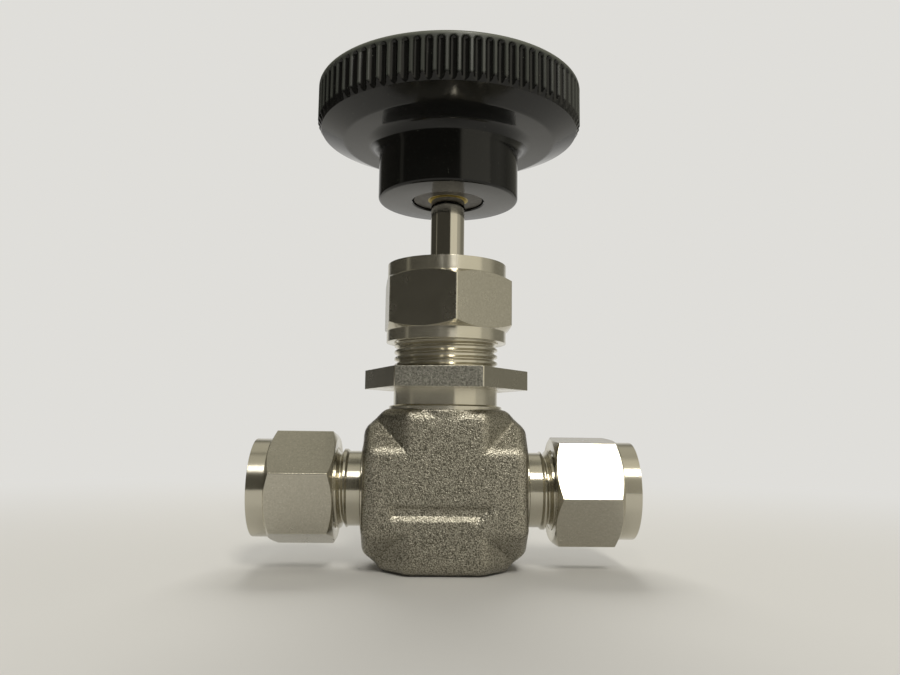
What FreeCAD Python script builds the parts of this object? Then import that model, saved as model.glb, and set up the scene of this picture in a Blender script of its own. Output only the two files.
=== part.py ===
import FreeCAD, Part
import math
import os
from FreeCAD import Vector

# Regulating needle valve with a twin-ferrule tube end on each side and a round fluted handle.
# Lengths are in millimetres and angles in degrees. The valve stands on the flat base of its body:
# +Z is the stem axis, +X is the direction of flow, and the face with the arrow looks towards -Y.

# Tube and thread gaps, all radial
TUBE_DIAMETER = 6.35
TUBE_GAP = 0.06
THREAD_GAP = 0.04
STEM_GAP = 0.05
PACKING_GAP = 0.03

# Gap along an axis between faces that part when a joint moves
FACE_GAP = 0.02

# How far a cut runs past the open face that it starts from
OVERCUT = 1.0

# Forged body
PORT_HEIGHT = 10.9
BODY_LENGTH = 22.6
BODY_DEPTH = 16.6
BODY_RISE = 11.3
STEM_ARM_FLAT = 10.8
PORT_ARM_FLAT = 11.2
ARM_DRAFT = 45.0
CORNER_CUT = 2.9
FORGING_RADIUS = 1.7

# Turned collar where the bonnet leaves the forging
TOP_COLLAR_DIAMETER = 16.3
TOP_COLLAR_HEIGHT = 0.45

# Bonnet
BONNET_DIAMETER = 15.02
BONNET_LENGTH = 16.65

# Flow arrow sunk in the front face, as a bar with half a head
ARROW_LENGTH = 15.1
ARROW_WIDTH = 2.0
ARROW_DROP = 1.85
ARROW_BARB = 0.85
ARROW_HEAD = 3.55
ARROW_DEPTH = 0.35
ARROW_SLOPE = 0.3

# Flow passages
ORIFICE_DIAMETER = 4.4
ORIFICE_DEPTH = 6.8
PASSAGE_DIAMETER = 4.0
PASSAGE_LEAD = 0.5
SEAT_DROP = 1.6
CHAMBER_DIAMETER = 6.4
CHAMBER_HEIGHT = 7.6
INLET_DROP = 6.5
OUTLET_RISE = 2.6

# Packing chamber in the top of the bonnet
PACKING_BORE = 8.6
PACKING_BORE_DEPTH = 8.0
PACKING_WASHER_THICKNESS = 0.6
PACKING_BASE_HEIGHT = 1.0
PACKING_VEE_COUNT = 2
PACKING_VEE_HEIGHT = 0.9
PACKING_TOP_HEIGHT = 1.5
PACKING_SUPPORT_HEIGHT = 0.9
PACKING_RIDGE = 0.5

# Stem. At rest it stands TURNS_OPEN turns above its seat and TURNS_LEFT turns below its back stop.
STEM_DIAMETER = 5.0
STEM_THREAD_DIAMETER = 6.8
STEM_THREAD_LENGTH = 9.4
STEM_TIP_DIAMETER = 5.2
STEM_LEAD = 0.907
TURNS_OPEN = 2.0
TURNS_LEFT = 3.0
SEAT_CONE_ANGLE = 30.0
NEEDLE_SHOULDER_DIAMETER = 4.0
NEEDLE_LENGTH = 5.0
NEEDLE_END_DIAMETER = 2.2

# Tube stubs on the body
STUB_DIAMETER = 10.5
STUB_SHANK_LENGTH = 2.15
STUB_THREAD_DIAMETER = 11.11
STUB_INSET = 6.33
MOUTH_ANGLE = 12.0
MOUTH_DEPTH = 2.6
TUBE_INSERTION = 15.2

# Tube nuts
END_REACH = 26.73
TUBE_NUT_FLATS = 14.2875
TUBE_NUT_HEX_LENGTH = 9.25
TUBE_NUT_RING_LENGTH = 2.3
TUBE_NUT_RING_DIAMETER = 13.68
TUBE_NUT_END_WALL = 3.5
INLET_NUT_ROTATION = 43.2
OUTLET_NUT_ROTATION = 64.6
HEX_BEVEL_ANGLE = 30.0

# Ferrules
FERRULE_DIAMETER = 8.6
FRONT_FERRULE_NOSE_WALL = 0.25
FRONT_FERRULE_FLANGE = 1.2
BACK_FERRULE_FLANGE = 1.35
BACK_FERRULE_NOSE = 0.7
BACK_FERRULE_NOSE_ANGLE = 35.0

# Packing nut and gland
PACKING_NUT_FLATS = 17.4625
PACKING_NUT_HEIGHT = 11.4
PACKING_NUT_COLLAR = 1.6
PACKING_NUT_RING = 1.9
PACKING_NUT_ROOF = 2.7
PACKING_NUT_ROTATION = 36.3
PACKING_NUT_DIAMETER = 17.46
PACKING_NUT_HOLE = 5.6
GLAND_FLANGE_DIAMETER = 12.6
GLAND_FLANGE_HEIGHT = 1.0
GLAND_LIFT = 0.15

# Panel nut
PANEL_NUT_FLATS = 20.6375
PANEL_NUT_THICKNESS = 2.75
PANEL_NUT_LIFT = 2.38
PANEL_NUT_ROTATION = -6.3

# Handle
HANDLE_LIFT = 9.9
HUB_DIAMETER = 20.76
HUB_HEIGHT = 8.8
HUB_EDGE_BEVEL = 0.35
HUB_FILLET = 2.0
HUB_RECESS = 0.3
UNDERSIDE_DIAMETER = 31.4
UNDERSIDE_RISE = 1.4
RIM_DIAMETER = 39.14
RIM_HEIGHT = 6.5
RIM_BEVEL_DEPTH = 0.55
RIM_BEVEL_HEIGHT = 0.9
RIM_LIP_BEVEL = 0.35
TOP_DISH_DIAMETER = 31.0
TOP_DISH_DEPTH = 0.6
FLUTE_COUNT = 78
FLUTE_WIDTH = 1.1
FLUTE_FLOOR = 0.5
FLUTE_DEPTH = 0.5
FLUTE_TOP_MARGIN = 0.6

# Brass insert and set screw in the handle
INSERT_DIAMETER = 10.6
INSERT_LENGTH = 8.0
INSERT_BORE_DEPTH = 7.0
SCREW_DIAMETER = 4.0
SCREW_LENGTH = 5.5
SCREW_SOCKET = 2.0
SCREW_SOCKET_DEPTH = 2.0
SCREW_HEIGHT = 4.3

# Chords that stand for the fillet between hub and disc
FILLET_CHORDS = 3

# Places that follow from the sizes above
tube_bore_radius = TUBE_DIAMETER / 2 + TUBE_GAP
collar_top = PORT_HEIGHT + BODY_RISE + TOP_COLLAR_HEIGHT
bonnet_top = collar_top + BONNET_LENGTH
packing_floor = bonnet_top - PACKING_BORE_DEPTH
gland_bottom = (packing_floor + PACKING_WASHER_THICKNESS + PACKING_BASE_HEIGHT
                + PACKING_VEE_COUNT * PACKING_VEE_HEIGHT + PACKING_TOP_HEIGHT
                + PACKING_SUPPORT_HEIGHT + FACE_GAP)
flange_bottom = bonnet_top + GLAND_LIFT
roof_bottom = flange_bottom + GLAND_FLANGE_HEIGHT + FACE_GAP
packing_nut_top = roof_bottom + PACKING_NUT_ROOF
packing_nut_bottom = packing_nut_top - PACKING_NUT_HEIGHT
hub_bottom = packing_nut_top + HANDLE_LIFT
insert_bottom = hub_bottom + HUB_RECESS
disc_bottom = hub_bottom + HUB_HEIGHT
rim_bottom = disc_bottom + UNDERSIDE_RISE
handle_top = rim_bottom + RIM_HEIGHT
seat_height = PORT_HEIGHT - SEAT_DROP
chamber_top = seat_height + CHAMBER_HEIGHT
socket_bottom = END_REACH - TUBE_INSERTION
back_face = END_REACH - TUBE_NUT_END_WALL - FACE_GAP
back_ferrule_start = back_face - BACK_FERRULE_FLANGE
front_face = back_ferrule_start - FACE_GAP
back_nose_slope = math.tan(math.radians(BACK_FERRULE_NOSE_ANGLE))
stub_reach = END_REACH - STUB_INSET
mouth_start = stub_reach - MOUTH_DEPTH
mouth_radius = tube_bore_radius + FRONT_FERRULE_NOSE_WALL
mouth_slope = math.tan(math.radians(MOUTH_ANGLE))


def turned(points):
    """Solid of revolution about Z of a closed outline given as (radius, height) points."""
    corners = [Vector(radius, 0, height) for radius, height in points]
    outline = Part.makePolygon(corners + [corners[0]])
    return Part.Face(outline).revolve(Vector(0, 0, 0), Vector(0, 0, 1), 360)


def rod(diameter, start, end):
    """Cylinder on the Z axis between two heights."""
    return Part.makeCylinder(diameter / 2, end - start, Vector(0, 0, start))


def drilled(diameter, start, end):
    """Cylinder between two points anywhere."""
    return Part.makeCylinder(diameter / 2, (end - start).Length, start, end - start)


def hexagon(flats, rotation, start, end):
    """Hexagonal bar on the Z axis, with one corner at the given angle."""
    radius = flats / math.sqrt(3)
    angles = [math.radians(rotation + 60 * corner) for corner in range(6)]
    corners = [Vector(radius * math.cos(a), radius * math.sin(a), start) for a in angles]
    face = Part.Face(Part.makePolygon(corners + [corners[0]]))
    return face.extrude(Vector(0, 0, end - start))


def bevelled_hexagon(flats, rotation, start, end, start_diameter, end_diameter):
    """Hexagonal bar whose corners are turned off by a cone at each end."""
    corner_radius = flats / math.sqrt(3) + 0.01
    slope = math.tan(math.radians(HEX_BEVEL_ANGLE))
    start_drop = (corner_radius - start_diameter / 2) * slope
    end_drop = (corner_radius - end_diameter / 2) * slope
    blank = turned([(0, start), (start_diameter / 2, start), (corner_radius, start + start_drop),
                    (corner_radius, end - end_drop), (end_diameter / 2, end), (0, end)])
    return hexagon(flats, rotation, start, end).common(blank)


def toward_port(shape, side):
    """Turn a shape built along +Z so that it points along the inlet (-1) or outlet (+1) port."""
    placed = shape.copy()
    placed.rotate(Vector(0, 0, 0), Vector(0, 1, 0), 90 * side)
    placed.translate(Vector(0, 0, PORT_HEIGHT))
    return placed


def forging_outline():
    """Prism of the forging's front view, with its four corners cut off."""
    half = BODY_LENGTH / 2
    top = PORT_HEIGHT + BODY_RISE
    cut = CORNER_CUT
    outline = [(-half, cut), (-half + cut, 0), (half - cut, 0), (half, cut),
               (half, top - cut), (half - cut, top), (-half + cut, top), (-half, top - cut)]
    corners = [Vector(x, -BODY_DEPTH, z) for x, z in outline]
    return Part.Face(Part.makePolygon(corners + [corners[0]])).extrude(Vector(0, 2 * BODY_DEPTH, 0))


def forged_arm(flat, along_stem):
    """One arm of the cross: a bar with a flat front and back and drafted sides, edges rounded."""
    half = flat / 2
    depth = BODY_DEPTH / 2
    widest = half + depth * math.tan(math.radians(ARM_DRAFT))
    section = [(half, -depth), (widest, 0), (half, depth), (-half, depth), (-widest, 0), (-half, -depth)]
    reach = BODY_LENGTH + BODY_RISE + PORT_HEIGHT
    if along_stem:
        corners = [Vector(across, y, -reach) for across, y in section]
        run = Vector(0, 0, 2 * reach)
    else:
        corners = [Vector(-reach, y, PORT_HEIGHT + across) for across, y in section]
        run = Vector(2 * reach, 0, 0)
    bar = Part.Face(Part.makePolygon(corners + [corners[0]])).extrude(run)
    arm = bar.common(forging_outline())
    return arm.makeFillet(FORGING_RADIUS, arm.Edges)


def flow_arrow():
    """Cut for the arrow sunk in the front face, with sloped walls and a barb on its lower side."""
    top = PORT_HEIGHT - ARROW_DROP
    low = top - ARROW_WIDTH
    tip = ARROW_LENGTH / 2
    heel = tip - ARROW_HEAD
    outline = [(-tip, top), (-tip, low), (heel, low), (heel, low - ARROW_BARB), (tip, top)]
    front = -BODY_DEPTH / 2
    corners = [Vector(x, front - OVERCUT, z) for x, z in outline]
    arrow = Part.Face(Part.makePolygon(corners + [corners[0]])).extrude(Vector(0, OVERCUT + ARROW_DEPTH, 0))
    deep = [edge for edge in arrow.Edges if edge.BoundBox.YMin > front]
    return arrow.makeChamfer(ARROW_SLOPE, deep)


def tube_stub():
    """Turned stub along +Z from the body's middle, before it is bored."""
    thread_start = BODY_LENGTH / 2 + STUB_SHANK_LENGTH
    thread_radius = STUB_THREAD_DIAMETER / 2
    return turned([(0, 0), (STUB_DIAMETER / 2, 0), (STUB_DIAMETER / 2, thread_start),
                   (thread_radius, thread_start + thread_radius - STUB_DIAMETER / 2),
                   (thread_radius, stub_reach), (0, stub_reach)])


def stub_bore():
    """Tube socket with the cone that closes the front ferrule, along +Z."""
    end_radius = mouth_radius + (MOUTH_DEPTH + OVERCUT) * mouth_slope
    return turned([(0, socket_bottom), (tube_bore_radius, socket_bottom), (tube_bore_radius, mouth_start),
                   (mouth_radius, mouth_start), (end_radius, stub_reach + OVERCUT),
                   (0, stub_reach + OVERCUT)])


def valve_body():
    """Forging with its integral bonnet and stubs, and all that is bored in it."""
    body = forged_arm(STEM_ARM_FLAT, True).fuse(forged_arm(PORT_ARM_FLAT, False))
    collar = rod(TOP_COLLAR_DIAMETER, PORT_HEIGHT, collar_top)
    bonnet = rod(BONNET_DIAMETER, PORT_HEIGHT, bonnet_top)
    stubs = [toward_port(tube_stub(), side) for side in (-1, 1)]
    body = body.fuse([collar, bonnet] + stubs).cut(flow_arrow())

    thread_bore = STEM_THREAD_DIAMETER + 2 * THREAD_GAP
    cuts = [toward_port(stub_bore(), side) for side in (-1, 1)]
    cuts.append(rod(PACKING_BORE, packing_floor, bonnet_top + OVERCUT))
    cuts.append(rod(thread_bore, chamber_top - OVERCUT, packing_floor + OVERCUT))
    cuts.append(rod(CHAMBER_DIAMETER, seat_height, chamber_top))
    cuts.append(rod(ORIFICE_DIAMETER, seat_height - ORIFICE_DEPTH, seat_height + OVERCUT))
    inlet_mouth = Vector(-socket_bottom - PASSAGE_LEAD, 0, PORT_HEIGHT)
    outlet_mouth = Vector(socket_bottom + PASSAGE_LEAD, 0, PORT_HEIGHT)
    cuts.append(drilled(PASSAGE_DIAMETER, inlet_mouth, Vector(0, 0, PORT_HEIGHT - INLET_DROP)))
    cuts.append(drilled(PASSAGE_DIAMETER, outlet_mouth, Vector(0, 0, PORT_HEIGHT + OUTLET_RISE)))
    return body.cut(cuts).removeSplitter()


def stem():
    """Regulating stem: long needle, seat cone, thread in the body, and the polished shank."""
    cone = math.tan(math.radians(SEAT_CONE_ANGLE))
    lift = TURNS_OPEN * STEM_LEAD + FACE_GAP
    tip_radius = STEM_TIP_DIAMETER / 2
    shoulder_radius = NEEDLE_SHOULDER_DIAMETER / 2
    cone_top = seat_height + lift + (tip_radius - ORIFICE_DIAMETER / 2) / cone
    cone_bottom = cone_top - (tip_radius - shoulder_radius) / cone
    needle_end = cone_bottom - NEEDLE_LENGTH
    thread_top = packing_floor - TURNS_LEFT * STEM_LEAD - FACE_GAP
    thread_bottom = thread_top - STEM_THREAD_LENGTH
    thread_radius = STEM_THREAD_DIAMETER / 2
    shank_radius = STEM_DIAMETER / 2
    top = insert_bottom + INSERT_BORE_DEPTH - FACE_GAP
    return turned([(0, needle_end), (NEEDLE_END_DIAMETER / 2, needle_end), (shoulder_radius, cone_bottom),
                   (tip_radius, cone_top), (tip_radius, thread_bottom), (thread_radius, thread_bottom),
                   (thread_radius, thread_top), (shank_radius, thread_top), (shank_radius, top), (0, top)])


def packing_ring(outline):
    """Ring between the stem and the packing bore. Outline points are (0 to 1 across, height)."""
    inner = STEM_DIAMETER / 2 + PACKING_GAP
    width = PACKING_BORE / 2 - PACKING_GAP - inner
    return turned([(inner + across * width, height) for across, height in outline])


def packing_washer():
    """Flat washer under the packing. The stem's thread stops against it at full opening."""
    top = packing_floor + PACKING_WASHER_THICKNESS
    return packing_ring([(0, packing_floor), (1, packing_floor), (1, top), (0, top)])


def packing_base_ring():
    """Lower packing ring, with the ridge that the vee rings nest on."""
    low = packing_floor + PACKING_WASHER_THICKNESS
    top = low + PACKING_BASE_HEIGHT
    return packing_ring([(0, low), (1, low), (1, top), (0.5, top + PACKING_RIDGE), (0, top)])


def packing_vee_ring(index):
    """One of the nested vee rings, counted from below."""
    low = (packing_floor + PACKING_WASHER_THICKNESS + PACKING_BASE_HEIGHT
           + index * PACKING_VEE_HEIGHT)
    top = low + PACKING_VEE_HEIGHT
    return packing_ring([(0, low), (0.5, low + PACKING_RIDGE), (1, low), (1, top),
                         (0.5, top + PACKING_RIDGE), (0, top)])


def packing_top_ring():
    """Upper packing ring, hollow below and flat under the support ring."""
    top = gland_bottom - FACE_GAP - PACKING_SUPPORT_HEIGHT
    low = top - PACKING_TOP_HEIGHT
    return packing_ring([(0, low), (0.5, low + PACKING_RIDGE), (1, low), (1, top), (0, top)])


def packing_support():
    """Hard flat ring between the soft packing and the gland."""
    top = gland_bottom - FACE_GAP
    low = top - PACKING_SUPPORT_HEIGHT
    return packing_ring([(0, low), (1, low), (1, top), (0, top)])


def packing_gland():
    """Sleeve that presses the packing, with its flange under the roof of the packing nut."""
    bore = STEM_DIAMETER / 2 + STEM_GAP
    sleeve = PACKING_BORE / 2 - STEM_GAP
    flange_top = flange_bottom + GLAND_FLANGE_HEIGHT
    return turned([(bore, gland_bottom), (sleeve, gland_bottom), (sleeve, flange_bottom),
                   (GLAND_FLANGE_DIAMETER / 2, flange_bottom), (GLAND_FLANGE_DIAMETER / 2, flange_top),
                   (bore, flange_top)])


def packing_nut():
    """Hexagonal nut on the bonnet thread, with a round ring above and a collar below its flats."""
    hex_bottom = packing_nut_bottom + PACKING_NUT_COLLAR
    hex_top = packing_nut_top - PACKING_NUT_RING
    core = rod(PACKING_NUT_DIAMETER, packing_nut_bottom, packing_nut_top)
    flats = bevelled_hexagon(PACKING_NUT_FLATS, PACKING_NUT_ROTATION, hex_bottom, hex_top,
                             PACKING_NUT_DIAMETER, PACKING_NUT_DIAMETER)
    thread_bore = rod(BONNET_DIAMETER + 2 * THREAD_GAP, packing_nut_bottom - OVERCUT, roof_bottom)
    stem_hole = rod(PACKING_NUT_HOLE, roof_bottom - OVERCUT, packing_nut_top + OVERCUT)
    return core.fuse(flats).cut([thread_bore, stem_hole]).removeSplitter()


def panel_nut():
    """Thin hexagonal nut that clamps the panel against the body's top collar."""
    low = collar_top + PANEL_NUT_LIFT
    top = low + PANEL_NUT_THICKNESS
    hole = rod(BONNET_DIAMETER + 2 * THREAD_GAP, low - OVERCUT, top + OVERCUT)
    return hexagon(PANEL_NUT_FLATS, PANEL_NUT_ROTATION, low, top).cut(hole)


def tube_nut(rotation):
    """Tube nut along +Z: hexagon towards the body, round ring at the tube's end."""
    hex_end = END_REACH - TUBE_NUT_RING_LENGTH
    hex_start = hex_end - TUBE_NUT_HEX_LENGTH
    flats = bevelled_hexagon(TUBE_NUT_FLATS, rotation, hex_start, hex_end,
                             TUBE_NUT_FLATS, TUBE_NUT_RING_DIAMETER)
    ring = rod(TUBE_NUT_RING_DIAMETER, hex_start, END_REACH)
    thread_radius = STUB_THREAD_DIAMETER / 2 + THREAD_GAP
    ferrule_radius = FERRULE_DIAMETER / 2 + STEM_GAP
    shoulder = END_REACH - TUBE_NUT_END_WALL
    bore = turned([(0, hex_start - OVERCUT), (thread_radius, hex_start - OVERCUT),
                   (thread_radius, back_ferrule_start), (ferrule_radius, back_ferrule_start),
                   (ferrule_radius, shoulder), (tube_bore_radius, shoulder),
                   (tube_bore_radius, END_REACH + OVERCUT), (0, END_REACH + OVERCUT)])
    return flats.fuse(ring).cut(bore).removeSplitter()


def front_ferrule():
    """Front ferrule along +Z: its cone lies in the stub's mouth, its flange meets the back ferrule."""
    nose = mouth_start + FACE_GAP
    flange = front_face - FRONT_FERRULE_FLANGE
    hollow_depth = BACK_FERRULE_NOSE + FACE_GAP
    hollow_radius = tube_bore_radius + hollow_depth * back_nose_slope
    return turned([(tube_bore_radius, nose), (mouth_radius, nose),
                   (mouth_radius + (flange - nose) * mouth_slope, flange), (FERRULE_DIAMETER / 2, flange),
                   (FERRULE_DIAMETER / 2, front_face), (hollow_radius, front_face),
                   (tube_bore_radius, front_face - hollow_depth)])


def back_ferrule():
    """Back ferrule along +Z: its nose enters the front ferrule, its flange meets the nut."""
    return turned([(tube_bore_radius, back_ferrule_start - BACK_FERRULE_NOSE),
                   (tube_bore_radius + BACK_FERRULE_NOSE * back_nose_slope, back_ferrule_start),
                   (FERRULE_DIAMETER / 2, back_ferrule_start), (FERRULE_DIAMETER / 2, back_face),
                   (tube_bore_radius, back_face)])


def insert_blank():
    """Outside of the insert, which also shapes its seat in the handle."""
    return rod(INSERT_DIAMETER, insert_bottom, insert_bottom + INSERT_LENGTH)


def screw_axis(start, end):
    """Two points on the set screw's axis, at the back of the hub, by their distance from the stem."""
    height = hub_bottom + SCREW_HEIGHT
    return Vector(0, start, height), Vector(0, end, height)


def handle_insert():
    """Brass insert that takes the end of the stem and the set screw."""
    bore = rod(STEM_DIAMETER + 2 * STEM_GAP, insert_bottom - OVERCUT, insert_bottom + INSERT_BORE_DEPTH)
    screw_hole = drilled(SCREW_DIAMETER + 2 * THREAD_GAP, *screw_axis(0, INSERT_DIAMETER))
    return insert_blank().cut([bore, screw_hole])


def handle_set_screw():
    """Socket set screw, in from the back of the hub to the stem."""
    tip = STEM_DIAMETER / 2 + FACE_GAP
    end = tip + SCREW_LENGTH
    screw = drilled(SCREW_DIAMETER, *screw_axis(tip, end))
    socket = hexagon(SCREW_SOCKET, 0, 0, SCREW_SOCKET_DEPTH + OVERCUT)
    socket.rotate(Vector(0, 0, 0), Vector(1, 0, 0), -90)
    socket.translate(screw_axis(end - SCREW_SOCKET_DEPTH, end)[0])
    return screw.cut(socket)


def flute():
    """Groove of the rim at the +X side, narrower at its floor, with a sloped upper end."""
    outside = RIM_DIAMETER / 2 + OVERCUT
    floor = RIM_DIAMETER / 2 - FLUTE_DEPTH
    spread = (FLUTE_WIDTH - FLUTE_FLOOR) / 2 / FLUTE_DEPTH
    half_outside = FLUTE_FLOOR / 2 + (FLUTE_DEPTH + OVERCUT) * spread
    top = handle_top - FLUTE_TOP_MARGIN
    groove = Part.makePolygon([Vector(floor, -FLUTE_FLOOR / 2, 0), Vector(outside, -half_outside, 0),
                               Vector(outside, half_outside, 0), Vector(floor, FLUTE_FLOOR / 2, 0),
                               Vector(floor, -FLUTE_FLOOR / 2, 0)])
    groove = Part.Face(groove).extrude(Vector(0, 0, top + OVERCUT - disc_bottom))
    groove.translate(Vector(0, 0, disc_bottom))
    slope = Part.makePolygon([Vector(floor, -RIM_DIAMETER, top - FLUTE_DEPTH),
                              Vector(outside, -RIM_DIAMETER, top + OVERCUT),
                              Vector(floor, -RIM_DIAMETER, top + OVERCUT),
                              Vector(floor, -RIM_DIAMETER, top - FLUTE_DEPTH)])
    return groove.cut(Part.Face(slope).extrude(Vector(0, 2 * RIM_DIAMETER, 0)))


def handle():
    """Moulded handle: hub, coned underside, fluted rim and a shallow dish on top."""
    rim = RIM_DIAMETER / 2
    hub = HUB_DIAMETER / 2
    dish = TOP_DISH_DIAMETER / 2
    outline = [(0, hub_bottom), (hub - HUB_EDGE_BEVEL, hub_bottom), (hub, hub_bottom + HUB_EDGE_BEVEL)]
    for chord in range(FILLET_CHORDS + 1):
        turn = math.radians(90 * chord / FILLET_CHORDS)
        spread = HUB_FILLET * (1 - math.cos(turn))
        drop = HUB_FILLET * (1 - math.sin(turn))
        outline.append((hub + spread, disc_bottom - drop))
    outline += [(UNDERSIDE_DIAMETER / 2, disc_bottom), (rim - RIM_BEVEL_DEPTH, rim_bottom),
                (rim, rim_bottom + RIM_BEVEL_HEIGHT), (rim, handle_top - RIM_LIP_BEVEL),
                (rim - RIM_LIP_BEVEL, handle_top), (dish, handle_top), (dish, handle_top - TOP_DISH_DEPTH),
                (0, handle_top - TOP_DISH_DEPTH)]
    shape = turned(outline)
    first = flute()
    flutes = []
    for index in range(FLUTE_COUNT):
        turned_flute = first.copy()
        turned_flute.rotate(Vector(0, 0, 0), Vector(0, 0, 1), (index + 0.5) * 360 / FLUTE_COUNT)
        flutes.append(turned_flute)
    recess = rod(INSERT_DIAMETER, hub_bottom - OVERCUT, insert_bottom)
    screw_hole = drilled(SCREW_DIAMETER + 2 * THREAD_GAP, *screw_axis(0, HUB_DIAMETER))
    return shape.cut(flutes).cut([recess, insert_blank(), screw_hole])


parts = {
    "valve_body": valve_body(),
    "stem": stem(),
    "packing_washer": packing_washer(),
    "packing_base_ring": packing_base_ring(),
    "packing_top_ring": packing_top_ring(),
    "packing_support": packing_support(),
    "packing_gland": packing_gland(),
    "packing_nut": packing_nut(),
    "panel_nut": panel_nut(),
    "handle": handle(),
    "handle_insert": handle_insert(),
    "handle_set_screw": handle_set_screw(),
}

for index in range(PACKING_VEE_COUNT):
    parts[f"packing_vee_ring_{index + 1}"] = packing_vee_ring(index)

# A corner angle in the port's own frame becomes one about +Z before the piece is turned to the port.
parts["inlet_nut"] = toward_port(tube_nut(90 - INLET_NUT_ROTATION), -1)
parts["outlet_nut"] = toward_port(tube_nut(90 + OUTLET_NUT_ROTATION), 1)
for port, side in (("inlet", -1), ("outlet", 1)):
    parts[port + "_front_ferrule"] = toward_port(front_ferrule(), side)
    parts[port + "_back_ferrule"] = toward_port(back_ferrule(), side)

os.makedirs("parts", exist_ok=True)
for node, shape in parts.items():
    assert shape.isValid(), node
    shape.exportStep("parts/" + node + ".step")
    box = shape.BoundBox
    low = f"{box.XMin:7.2f} {box.YMin:7.2f} {box.ZMin:7.2f}"
    high = f"{box.XMax:7.2f} {box.YMax:7.2f} {box.ZMax:7.2f}"
    print(f"{node:22s} solids {len(shape.Solids)} volume {shape.Volume:9.2f} from {low} to {high}")
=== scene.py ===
import math

import bpy
import numpy as np
from mathutils import Matrix, Vector


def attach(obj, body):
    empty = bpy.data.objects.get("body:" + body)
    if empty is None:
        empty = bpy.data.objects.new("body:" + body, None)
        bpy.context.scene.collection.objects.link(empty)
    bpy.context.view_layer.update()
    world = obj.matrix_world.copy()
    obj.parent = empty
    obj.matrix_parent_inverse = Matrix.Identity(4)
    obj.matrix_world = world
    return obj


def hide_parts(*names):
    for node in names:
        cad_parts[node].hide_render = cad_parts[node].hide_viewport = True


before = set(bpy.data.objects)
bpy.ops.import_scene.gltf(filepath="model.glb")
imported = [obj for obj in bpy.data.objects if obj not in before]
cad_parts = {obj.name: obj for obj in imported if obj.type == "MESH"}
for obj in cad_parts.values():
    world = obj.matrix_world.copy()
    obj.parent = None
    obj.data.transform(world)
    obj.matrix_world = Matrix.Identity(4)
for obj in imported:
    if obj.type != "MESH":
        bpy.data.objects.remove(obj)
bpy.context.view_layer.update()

# Forged body
# The real body is one stainless forging: two arms with flat fronts and sides drafted at 45 degrees cross at
# the port axis. Its skin is blasted, its corners are cut, and the flow arrow is sunk in its front.
MM = 0.001
WELD = 1e-7
TOOL_OVERCUT = 1.0
BAR_SEGMENTS = 64
PORT_HEIGHT = 10.9
BODY_LENGTH = 22.6
BODY_DEPTH = 16.6
BODY_TOP = 22.2
CORNER_CUT = 2.9
STEM_ARM_FLAT = 10.8
PORT_ARM_FLAT = 11.2
FORGING_RADIUS = 1.7
ROUNDING_SEGMENTS = 6
SKIN_STEP = 0.198
SKIN_SMOOTHING = 4
SKIN_DENT = 0.05
BLASTING_SIZE = 0.55
PORT_POCKET_RADIUS = 4.6
PORT_POCKET_END = 5.5
STEM_POCKET_RADIUS = 5.0
STEM_POCKET_FLOOR = 1.6
BOSS_RADIUS = 8.28
BOSS_TOP = 22.15
BOSS_SEGMENTS = 128
ARROW_LENGTH = 14.7
ARROW_WIDTH = 2.0
ARROW_TOP = 9.35
ARROW_HEAD = 3.45
ARROW_BARB = 0.75
ARROW_DEPTH = 0.42
ARROW_SLOPE = 0.5
FORGED_LIGHT = (0.52, 0.49, 0.405, 1)
FORGED_DARK = (0.115, 0.107, 0.083, 1)
FORGED_PITS = (0.4, 0.6)
FORGED_ROUGHNESS = (0.28, 0.4)


def pick(piece):
    """Leaves this piece alone selected and active."""
    bpy.ops.object.select_all(action="DESELECT")
    piece.select_set(True)
    bpy.context.view_layer.objects.active = piece


def start_edit(piece):
    """Goes into edit mode on a piece, with all of it selected."""
    pick(piece)
    bpy.ops.object.mode_set(mode="EDIT")
    bpy.ops.mesh.select_all(action="SELECT")


def end_edit():
    """Goes back to object mode."""
    bpy.ops.object.mode_set(mode="OBJECT")


def settle(piece, name):
    """Names a piece and puts its place, turn and scale into its mesh."""
    pick(piece)
    piece.name = name
    piece.data.name = name
    bpy.ops.object.transform_apply(location=True, rotation=True, scale=True)
    return piece


def finish_with(piece, kind, **settings):
    """Adds a modifier to a piece and applies it."""
    pick(piece)
    modifier = piece.modifiers.new(kind, kind)
    for key, value in settings.items():
        setattr(modifier, key, value)
    bpy.ops.object.modifier_apply(modifier=modifier.name)


def machine(piece, tool, operation="DIFFERENCE"):
    """Cuts a piece with a closed tool, joins the tool to it, or keeps what they share. Uses up the tool."""
    finish_with(piece, "BOOLEAN", object=tool, operation=operation, solver="MANIFOLD")
    bpy.data.objects.remove(tool)


def round_bar(name, radius, start, end, vertices=BAR_SEGMENTS):
    """Closed cylinder between two points, in millimetres."""
    start, end = Vector(start) * MM, Vector(end) * MM
    turn_to = (end - start).to_track_quat("Z", "Y").to_euler()
    bpy.ops.mesh.primitive_cylinder_add(vertices=vertices, radius=radius * MM, depth=(end - start).length,
                                        location=(start + end) / 2, rotation=turn_to)
    return settle(bpy.context.object, name)


def trim(piece, point, outward):
    """Cuts a convex piece flat at a plane and closes it."""
    start_edit(piece)
    bpy.ops.mesh.bisect(plane_co=Vector(point) * MM, plane_no=outward, use_fill=True, clear_outer=True,
                        threshold=WELD)
    end_edit()


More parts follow.
